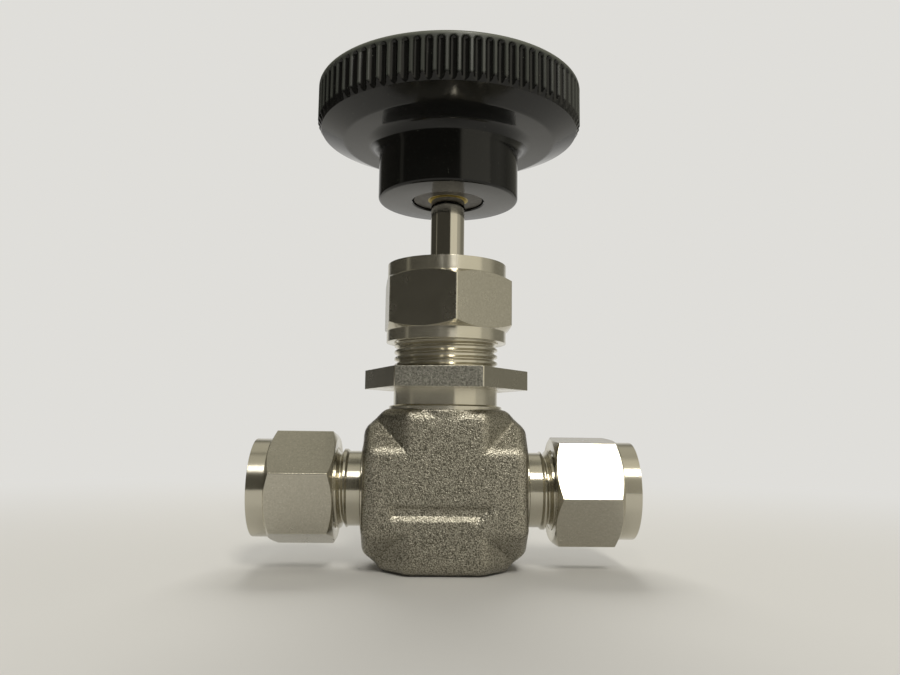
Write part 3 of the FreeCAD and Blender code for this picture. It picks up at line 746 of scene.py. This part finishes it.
tube_corner = TUBE_NUT_FLATS / math.sqrt(3) + CORNER_MARGIN
stub_thread_hole = STUB_THREAD_RADIUS + NUT_THREAD_CLEARANCE
tube_nut_mouth = stub_thread_hole + NUT_MOUTH_CHAMFER
tube_nut_outline = [
    (tube_nut_mouth, TUBE_HEX_START), (TUBE_START_RADIUS, TUBE_HEX_START),
    (tube_corner, TUBE_HEX_START + (tube_corner - TUBE_START_RADIUS) * CORNER_SLOPE),
    (tube_corner, TUBE_HEX_END - (tube_corner - TUBE_RING_RADIUS) * CORNER_SLOPE),
    (TUBE_RING_RADIUS, TUBE_HEX_END), (TUBE_RING_RADIUS, TUBE_NUT_END),
    (TUBE_BORE_RADIUS + TUBE_MOUTH_CHAMFER, TUBE_NUT_END),
    (TUBE_BORE_RADIUS, TUBE_NUT_END - TUBE_MOUTH_CHAMFER), (TUBE_BORE_RADIUS, FERRULE_SHOULDER),
    (FERRULE_POCKET_RADIUS, FERRULE_SHOULDER), (FERRULE_POCKET_RADIUS, FERRULE_POCKET_START),
    (stub_thread_hole, FERRULE_POCKET_START), (stub_thread_hole, TUBE_HEX_START + NUT_MOUTH_CHAMFER),
    (tube_nut_mouth, TUBE_HEX_START)]
for port, side in PORT_SIDES.items():
    nut = hexagon_nut(port + "_nut_dressed", tube_nut_outline, TUBE_NUT_FLATS, TUBE_NUT_ROTATIONS[port],
                      NUT_EDGE_BEVEL, turned_on_port_axis)
    toward_port(nut, side)
    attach(nut, port + "_nut_spinner")
    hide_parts(port + "_nut")

# Handle
# One black phenolic moulding: a hub round the insert, a thin disc whose underside rises to the rim, and a
# rim with 78 half-round flutes that end in arches under a narrow smooth lip. Its top is a shallow dish.
HUB_BOTTOM = 53.07
HUB_RADIUS = 10.38
HUB_ROUNDING = 0.45
HUB_FILLET = 2.0
HUB_MOUTH_CHAMFER = 0.15
DISC_BOTTOM = 61.87
UNDERSIDE_RADIUS = 15.7
UNDERSIDE_EASE = ((-0.25, 0.0), (0.0, 0.03), (0.25, 0.12))
UNDERSIDE_MIDDLE = (17.6, 62.68)
UNDERSIDE_MARGIN = 0.3
UNDERSIDE_TOP = 63.14
RIM_BOTTOM = 63.27
RIM_BEVEL_DEPTH = 0.55
RIM_BEVEL_HEIGHT = 0.9
RIM_BEVEL_STEPS = 8
RIM_RADIUS = 19.57
RIM_ZONE_RADIUS = 18.4
HANDLE_TOP = 69.77
LIP_ROUNDING = 0.35
DISH_RADIUS = 15.5
DISH_DEPTH = 0.6
DISH_EDGE_ROUNDING = 0.2
DISH_FLOOR_ROUNDING = 0.3
DISH_MIDDLE_RADIUS = 8.0
INSERT_RADIUS = 5.3
INSERT_BOTTOM = 53.37
INSERT_TOP = 61.37
FLUTE_COUNT = 78
FLUTE_STEPS = 12
FLUTE_RADIUS = 0.56
FLUTE_DEPTH = 0.5
FLUTE_TOP_MARGIN = 0.6
FLUTE_FLARE = 2
FLUTE_BLEND = 0.07
FLUTE_ROW = 0.08
FLUTE_FOOT_TOP = 1.6
FLUTE_ARCH_MARGIN = 0.4
PLAIN_ROW = 1.2
SCREW_HEIGHT = 57.37
SCREW_HOLE_RADIUS = 2.04
PHENOLIC_COLOUR = (0.005, 0.005, 0.0045, 1)
PHENOLIC_ROUGHNESS = (0.06, 0.18)
WORN_AND_LIT_RIM_COLOUR = (0.045, 0.048, 0.04, 1)
WORN_ROUGHNESS = 0.24
WORN_AND_LIT_CREST = (-0.25, -0.04)
WORN_AND_LIT_FOOT = (0.0, 0.4)
DUST_AND_SHEEN_LIP = (-0.1, 0.25)
DUST_AND_SHEEN_COLOUR = (0.115, 0.121, 0.097, 1)
DUST_BAND = (0.72, 0.78)


def arc(middle_radius, middle_height, radius, start, end, steps):
    """Points of an arc in a section, from one angle to another."""
    angles = [math.radians(start + (end - start) * step / steps) for step in range(steps + 1)]
    return [(middle_radius + radius * math.cos(a), middle_height + radius * math.sin(a)) for a in angles]


def rows(start, end, step):
    """Points up the straight side of the rim, evenly spaced, without the first one."""
    count = max(1, round(abs(end - start) / step))
    return [(RIM_RADIUS, start + (end - start) * (index + 1) / count) for index in range(count)]


def press_flutes(piece):
    """Presses the flutes into the rim of a turned blank whose steps fall evenly on them."""
    points = np.empty(len(piece.data.vertices) * 3)
    piece.data.vertices.foreach_get("co", points)
    points = points.reshape(-1, 3) / MM
    radius = np.hypot(points[:, 0], points[:, 1])
    pitch = 2 * math.pi / FLUTE_COUNT
    angle = np.arctan2(points[:, 1], points[:, 0])
    across = ((angle / pitch) % 1 - 0.5) * pitch * RIM_RADIUS
    arch_middle = HANDLE_TOP - FLUTE_TOP_MARGIN - FLUTE_RADIUS
    above = np.maximum(points[:, 2] - arch_middle, 0)
    inside = FLUTE_RADIUS ** 2 - across ** 2 - above ** 2
    sunk = RIM_RADIUS + FLUTE_RADIUS - FLUTE_DEPTH - np.sqrt(np.maximum(inside, 0))
    sunk += np.where(inside < 0, np.sqrt(across ** 2 + above ** 2) - FLUTE_RADIUS, 0) * FLUTE_FLARE
    blend = np.maximum(FLUTE_BLEND - np.abs(radius - sunk), 0) / FLUTE_BLEND
    pressed = np.minimum(radius, sunk) - blend ** 2 * FLUTE_BLEND / 4
    on_rim = (radius > RIM_ZONE_RADIUS) & (points[:, 2] > DISC_BOTTOM)
    scale = np.where(on_rim, pressed / np.maximum(radius, RIM_ZONE_RADIUS), 1)
    points[:, 0] *= scale
    points[:, 1] *= scale
    piece.data.vertices.foreach_set("co", (points * MM).ravel())
    piece.data.update()


def band_from(look, value, middle, band):
    """Goes from 0 to 1 across a band about a value, both in millimetres."""
    return rise(look, value, (middle + band[0]) * MM, (middle + band[1]) * MM)


def phenolic_finish():
    """Black phenolic: glossy, satin from wear by hands on the crests between the flutes, which are also
    painted lighter as painted light on the lit lands; dust and painted sheen on the lip.
    """
    finish = new_finish("phenolic_black", PHENOLIC_COLOUR, metallic=0.0, roughness=0.12, IOR=1.48,
                        Specular_IOR_Level=0.38)
    place = object_place(finish)
    waves = noise(finish, place, scale=260.0, detail=2.0)
    dust = rise(finish, noise(finish, place, scale=4200.0, detail=2.0), *DUST_BAND)
    height = add_node(finish, "SeparateXYZ", {0: place})["Z"]
    on_crest = band_from(finish, from_axis(finish, place), RIM_RADIUS, WORN_AND_LIT_CREST)
    above_foot = band_from(finish, height, RIM_BOTTOM + RIM_BEVEL_HEIGHT, WORN_AND_LIT_FOOT)
    lit_and_worn = calculate(finish, "MULTIPLY", on_crest, above_foot)
    at_lip = band_from(finish, height, HANDLE_TOP - FLUTE_TOP_MARGIN, DUST_AND_SHEEN_LIP)
    # The crests between the flutes are painted a lighter grey: painted light on the lands that catch the
    # light, over their real wear.
    colour = mix(finish, lit_and_worn, PHENOLIC_COLOUR, WORN_AND_LIT_RIM_COLOUR)
    # The lip's crests are painted paler still: painted sheen on the lip, mixed with dust.
    colour = mix(finish, calculate(finish, "MULTIPLY", at_lip, on_crest), colour, DUST_AND_SHEEN_COLOUR)
    feed(finish, "Base Color", mix(finish, dust, colour, DUST_AND_SHEEN_COLOUR))
    gloss = rise(finish, waves, 0.0, 1.0, *PHENOLIC_ROUGHNESS)
    satin = calculate(finish, "MULTIPLY", lit_and_worn, WORN_ROUGHNESS)
    feed(finish, "Roughness", calculate(finish, "ADD", gloss, satin))
    relief(finish, waves, depth=0.012)
    return finish


bevel_radius = RIM_RADIUS - RIM_BEVEL_DEPTH
bevel_top = RIM_BOTTOM + RIM_BEVEL_HEIGHT
arch_low = HANDLE_TOP - FLUTE_TOP_MARGIN - 2 * FLUTE_RADIUS + FLUTE_ARCH_MARGIN
lip_low = HANDLE_TOP - LIP_ROUNDING
dish_floor = HANDLE_TOP - DISH_DEPTH
handle_outline = [(0, INSERT_TOP), (INSERT_RADIUS, INSERT_TOP),
                  (INSERT_RADIUS, HUB_BOTTOM + HUB_MOUTH_CHAMFER),
                  (INSERT_RADIUS + HUB_MOUTH_CHAMFER, HUB_BOTTOM)]
handle_outline += arc(HUB_RADIUS - HUB_ROUNDING, HUB_BOTTOM + HUB_ROUNDING, HUB_ROUNDING, -90, 0, steps=5)
handle_outline += arc(HUB_RADIUS + HUB_FILLET, DISC_BOTTOM - HUB_FILLET, HUB_FILLET, 180, 90, steps=8)
handle_outline += [(UNDERSIDE_RADIUS + out, DISC_BOTTOM + up) for out, up in UNDERSIDE_EASE]
handle_outline += [UNDERSIDE_MIDDLE, (bevel_radius - UNDERSIDE_MARGIN, UNDERSIDE_TOP)]
for step in range(RIM_BEVEL_STEPS + 1):
    handle_outline += [(bevel_radius + RIM_BEVEL_DEPTH * step / RIM_BEVEL_STEPS,
                        RIM_BOTTOM + RIM_BEVEL_HEIGHT * step / RIM_BEVEL_STEPS)]
handle_outline += rows(bevel_top, RIM_BOTTOM + FLUTE_FOOT_TOP, FLUTE_ROW * 3)
handle_outline += rows(RIM_BOTTOM + FLUTE_FOOT_TOP, arch_low, PLAIN_ROW)
handle_outline += rows(arch_low, lip_low, FLUTE_ROW)
handle_outline += arc(RIM_RADIUS - LIP_ROUNDING, lip_low, LIP_ROUNDING, 0, 90, steps=5)[1:]
handle_outline += arc(DISH_RADIUS + DISH_EDGE_ROUNDING, HANDLE_TOP - DISH_EDGE_ROUNDING,
                      DISH_EDGE_ROUNDING, 90, 180, steps=3)
handle_outline += arc(DISH_RADIUS - DISH_FLOOR_ROUNDING, dish_floor + DISH_FLOOR_ROUNDING,
                      DISH_FLOOR_ROUNDING, 0, -90, steps=4)
handle_outline += [(DISH_MIDDLE_RADIUS, dish_floor), (0, dish_floor)]
handle = turn("fluted_handle", handle_outline, FLUTE_COUNT * FLUTE_STEPS)
press_flutes(handle)
machine(handle, round_bar("screw_hole", SCREW_HOLE_RADIUS,
                          (0, INSERT_RADIUS - TOOL_OVERCUT, SCREW_HEIGHT),
                          (0, HUB_RADIUS + TOOL_OVERCUT, SCREW_HEIGHT)))
shade(handle)
dress(handle, phenolic_finish())
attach(handle, "handle_group")
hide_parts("handle")

# Handle insert
# A turned brass bush moulded into the hub, bored for the stem and cross-drilled for the set screw. Only
# its lower end shows, sunk a little in the hub round the stem.
INSERT_OUTER_RADIUS = 5.28
INSERT_BORE_RADIUS = 2.55
INSERT_BORE_TOP = 60.37
INSERT_MOUTH_CHAMFER = 0.3
INSERT_EDGE_CHAMFER = 0.2
INSERT_TOP_CLEARANCE = 0.02
CROSS_HOLE_START = 1.0
CROSS_HOLE_END = 7.0
BRASS_BARE = (0.42, 0.33, 0.1, 1)
BRASS_BARE_RADIUS = 2.9
BRASS_BARE_FADE = 0.15
BRASS_TARNISHED_AND_SHADED = (0.055, 0.045, 0.026, 1)
BRASS_DARK = (0.022, 0.019, 0.013, 1)
BRASS_ROUGHNESS = (0.3, 0.5)


def brass_finish():
    """Brass painted almost black on its turned end, partly tarnish and partly painted shade where it is sunk
    in the hub; its own bright colour only where the edge of the bore is bare.
    """
    finish = new_finish("tarnished_and_shaded_brass", BRASS_TARNISHED_AND_SHADED, metallic=1.0, roughness=0.4)
    place = object_place(finish)
    stains = noise(finish, place, scale=1500.0, detail=4.0)
    bare = rise(finish, from_axis(finish, place), BRASS_BARE_RADIUS * MM,
                (BRASS_BARE_RADIUS + BRASS_BARE_FADE) * MM, 1.0, 0.0)
    # The turned end is painted almost black: tarnish together with painted shade from the hub round it.
    tarnished_and_shaded = mix(finish, stains, BRASS_TARNISHED_AND_SHADED, BRASS_DARK)
    feed(finish, "Base Color", mix(finish, bare, tarnished_and_shaded, BRASS_BARE))
    vary_roughness(finish, stains, *BRASS_ROUGHNESS)
    relief(finish, turning_lines(finish, False), depth=0.004)
    return finish


insert_top = INSERT_TOP - INSERT_TOP_CLEARANCE
insert = turn("brass_insert", [
    (0, INSERT_BORE_TOP), (INSERT_BORE_RADIUS, INSERT_BORE_TOP),
    (INSERT_BORE_RADIUS, INSERT_BOTTOM + INSERT_MOUTH_CHAMFER),
    (INSERT_BORE_RADIUS + INSERT_MOUTH_CHAMFER, INSERT_BOTTOM),
    (INSERT_OUTER_RADIUS - INSERT_EDGE_CHAMFER, INSERT_BOTTOM),
    (INSERT_OUTER_RADIUS, INSERT_BOTTOM + INSERT_EDGE_CHAMFER), (INSERT_OUTER_RADIUS, insert_top),
    (0, insert_top)])
machine(insert, round_bar("screw_hole", SCREW_HOLE_RADIUS, (0, CROSS_HOLE_START, SCREW_HEIGHT),
                          (0, CROSS_HOLE_END, SCREW_HEIGHT)))
shade(insert)
dress(insert, brass_finish())
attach(insert, "handle_group")
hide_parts("handle_insert")

# Handle set screw
# A black socket set screw of alloy steel goes in from the back of the hub, through the insert, and locks
# the handle to the stem.
SCREW_TIP = 2.52
SCREW_END = 8.02
SCREW_RADIUS = 1.99
SCREW_SEGMENTS = 64
SCREW_PITCH = 0.7
SCREW_POINT_RADIUS = SCREW_RADIUS * 0.55
SCREW_POINT_LENGTH = 0.7
SCREW_CHAMFER = 0.25
SOCKET_FLATS = 2.0
SOCKET_DEPTH = 2.0
SOCKET_CORNER = 30
OXIDE_COLOUR = (0.035, 0.034, 0.035, 1)
OXIDE_ROUGHNESS = (0.3, 0.55)


def black_oxide_finish():
    """Blackened alloy steel: dark, satin, slightly uneven."""
    finish = new_finish("black_oxide", OXIDE_COLOUR, metallic=1.0, roughness=0.4)
    stains = noise(finish, object_place(finish), scale=2000.0, detail=3.0)
    vary_roughness(finish, stains, *OXIDE_ROUGHNESS)
    relief(finish, stains, depth=0.004)
    return finish


screw_length = SCREW_END - SCREW_TIP
screw = turn("set_screw", [
    (0, 0), (SCREW_POINT_RADIUS, 0), (SCREW_RADIUS, SCREW_POINT_LENGTH),
    (SCREW_RADIUS, screw_length - SCREW_CHAMFER), (SCREW_RADIUS - SCREW_CHAMFER, screw_length),
    (0, screw_length)], SCREW_SEGMENTS)
cut_thread(screw, SCREW_RADIUS, SCREW_PITCH, 0, screw_length)
machine(screw, hexagon_bar("socket_tool", SOCKET_FLATS, SOCKET_CORNER, screw_length - SOCKET_DEPTH,
                           screw_length + TOOL_OVERCUT))
shade(screw)
screw.rotation_euler = (math.radians(-90), 0, 0)
screw.location = (0, SCREW_TIP * MM, SCREW_HEIGHT * MM)
settle(screw, "set_screw")
dress(screw, black_oxide_finish())
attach(screw, "handle_group")
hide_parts("handle_set_screw")

# Room
# A pale floor that fades into a pale background, a key lamp high in front that draws the bright bands on
# the steel, a narrow one beside it for the left nut, and a back light that metal doesn't mirror. The room
# that metal mirrors is pale behind, with a window and a far wall on the right, a ceiling, and one paler
# strip in the dark on the left.
FLOOR_RADIUS = 0.26
FLOOR_SEGMENTS = 96
FLOOR_COLOUR = (0.6, 0.59, 0.56, 1)
FLOOR_ROUGHNESS = (0.7, 0.85)
FLOOR_FADE = (0.03, 0.2)
FLOOR_MIRRORED = (0.12, 0.4)
ROOM_PALE = (0.74, 0.73, 0.7, 1)
ROOM_DARK = (0.054, 0.051, 0.042, 1)
ROOM_SIDE = (0.5, 0.48, 0.405, 1)
ROOM_WINDOW = (0.85, 0.81, 0.68, 1)
ROOM_FAR = (0.24, 0.23, 0.19, 1)
ROOM_CEILING = (0.55, 0.53, 0.45, 1)
SIDE_DIRECTION = (0.951, 0.309, 0.0)
WINDOW_EDGE = (-0.342, -0.94, 0.0)
SLIT_DIRECTION = (0.156, -0.988, 0.0)
SIDE_BAND = (-0.04, 0.06)
FAR_BAND = (-0.05, 0.25)
WINDOW_BAND = (0.0, 0.06)
SLIT_BAND = (0.04, 0.07)
CEILING_BAND = (0.62, 0.76)
BEHIND_BAND = (0.74, 0.96)
DIFFUSE_STRENGTH = 0.5
AIM = Vector((0, 0, 0.032))
LAMPS = (("key_lamp", (0.08, -0.34, 0.37), (0.09, 0.14), 0.95, (1, 0.97, 0.9), True),
         ("left_glint", (-0.074, -0.34, 0.37), (0.03, 0.12), 0.13, (1, 0.98, 0.94), True),
         ("back_soft", (0.0, 0.34, 0.36), (0.3, 0.3), 1.7, (1, 0.99, 0.96), False))


def seen_by(look, *kinds):
    """1 for rays of the kinds named, and 0 for the rest."""
    rays = add_node(look, "LightPath", {})
    seen = rays[kinds[0]]
    for kind in kinds[1:]:
        seen = calculate(look, "MAXIMUM", seen, rays[kind])
    return seen


bpy.ops.mesh.primitive_circle_add(vertices=FLOOR_SEGMENTS, radius=FLOOR_RADIUS, fill_type="NGON")
floor = settle(bpy.context.object, "floor")
floor_finish = new_finish("pale_floor", FLOOR_COLOUR, metallic=0.0, roughness=0.75)
floor_place = object_place(floor_finish)
vary_roughness(floor_finish, noise(floor_finish, floor_place, scale=30.0, detail=2.0), *FLOOR_ROUGHNESS)
floor_distance = add_node(floor_finish, "VectorMath", {0: floor_place}, operation="LENGTH")["Value"]
fade = rise(floor_finish, floor_distance, *FLOOR_FADE, eased=True)
floor_depth = add_node(floor_finish, "SeparateXYZ", {0: floor_place})["Y"]
floor_mirrored = calculate(floor_finish, "MULTIPLY", seen_by(floor_finish, "Is Glossy Ray"),
                           rise(floor_finish, floor_depth, *FLOOR_MIRRORED))
floor_seen = calculate(floor_finish, "MAXIMUM", floor_mirrored,
                       seen_by(floor_finish, "Is Camera Ray", "Is Transmission Ray"))
glow = add_node(floor_finish, "Emission", {"Color": ROOM_PALE, "Strength": 1.0})[0]
floor_nodes = floor_finish.node_tree.nodes
faded = add_node(floor_finish, "MixShader", {0: calculate(floor_finish, "MULTIPLY", fade, floor_seen),
                                             1: floor_nodes["Principled BSDF"].outputs[0], 2: glow})[0]
floor_finish.node_tree.links.new(faded, floor_nodes["Material Output"].inputs["Surface"])
dress(floor, floor_finish)

for lamp_name, lamp_place, lamp_size, power, colour, mirrored in LAMPS:
    lamp = bpy.data.lights.new(lamp_name, "AREA")
    lamp.shape = "RECTANGLE"
    lamp.size, lamp.size_y = lamp_size
    lamp.energy = power
    lamp.color = colour
    light = bpy.data.objects.new(lamp_name, lamp)
    bpy.context.scene.collection.objects.link(light)
    light.location = lamp_place
    light.rotation_euler = (AIM - Vector(lamp_place)).to_track_quat("-Z", "Y").to_euler()
    light.visible_glossy = mirrored

world = bpy.data.worlds.new("studio")
bpy.context.scene.world = world
world.use_nodes = True
world.node_tree.nodes.clear()
direction = add_node(world, "TexCoord", {})["Generated"]
parts = add_node(world, "SeparateXYZ", {0: direction})


def along(way):
    """How far the direction that is looked in points one way, from -1 to 1."""
    return add_node(world, "VectorMath", {0: direction, 1: way}, operation="DOT_PRODUCT")["Value"]


to_side = rise(world, along(SIDE_DIRECTION), *SIDE_BAND, eased=True)
to_window = rise(world, along(WINDOW_EDGE), *WINDOW_BAND, eased=True)
from_slit = calculate(world, "ABSOLUTE", along(SLIT_DIRECTION))
to_slit = rise(world, from_slit, *SLIT_BAND, 1.0, 0.0, eased=True)
to_left = calculate(world, "LESS_THAN", parts["X"], 0.0)
wall = mix(world, rise(world, parts["Y"], *FAR_BAND), ROOM_SIDE, ROOM_FAR)
room = mix(world, to_side, ROOM_DARK, wall)
room = mix(world, rise(world, parts["Z"], *CEILING_BAND, eased=True), room, ROOM_CEILING)
room = mix(world, calculate(world, "MULTIPLY", to_window, to_side), room, ROOM_WINDOW)
room = mix(world, calculate(world, "MULTIPLY", to_slit, to_left), room, ROOM_FAR)
room = mix(world, rise(world, parts["Y"], *BEHIND_BAND, eased=True), room, ROOM_PALE)
tint = mix(world, seen_by(world, "Is Glossy Ray"), ROOM_PALE, room)
world_seen = seen_by(world, "Is Camera Ray", "Is Glossy Ray", "Is Transmission Ray")
strength = rise(world, world_seen, 0.0, 1.0, DIFFUSE_STRENGTH, 1.0)
background = add_node(world, "Background", {"Color": tint, "Strength": strength})[0]
add_node(world, "OutputWorld", {"Surface": background})

# Camera
# It stands where the photograph was taken from, close in front of the valve and a little to its left,
# and looks slightly up at it.
CAMERA_LENS = 30.016
CAMERA_SENSOR = 36.0
CAMERA_CLIP = (0.005, 10.0)
CAMERA_PLACE = (-2.49, -109.31, 19.81)
CAMERA_TURNS = (("Z", -1.60), ("X", 6.74), ("Y", -0.73), ("X", 90))

camera_data = bpy.data.cameras.new("camera")
camera_data.lens = CAMERA_LENS
camera_data.sensor_width = CAMERA_SENSOR
camera_data.sensor_fit = "HORIZONTAL"
camera_data.clip_start, camera_data.clip_end = CAMERA_CLIP
camera = bpy.data.objects.new("camera", camera_data)
bpy.context.scene.collection.objects.link(camera)
camera_turn = Matrix.Identity(4)
for axis, degrees in CAMERA_TURNS:
    camera_turn = camera_turn @ Matrix.Rotation(math.radians(degrees), 4, axis)
camera.matrix_world = Matrix.Translation(Vector(CAMERA_PLACE) * MM) @ camera_turn
bpy.context.scene.camera = camera
bpy.context.scene.view_settings.view_transform = "Standard"
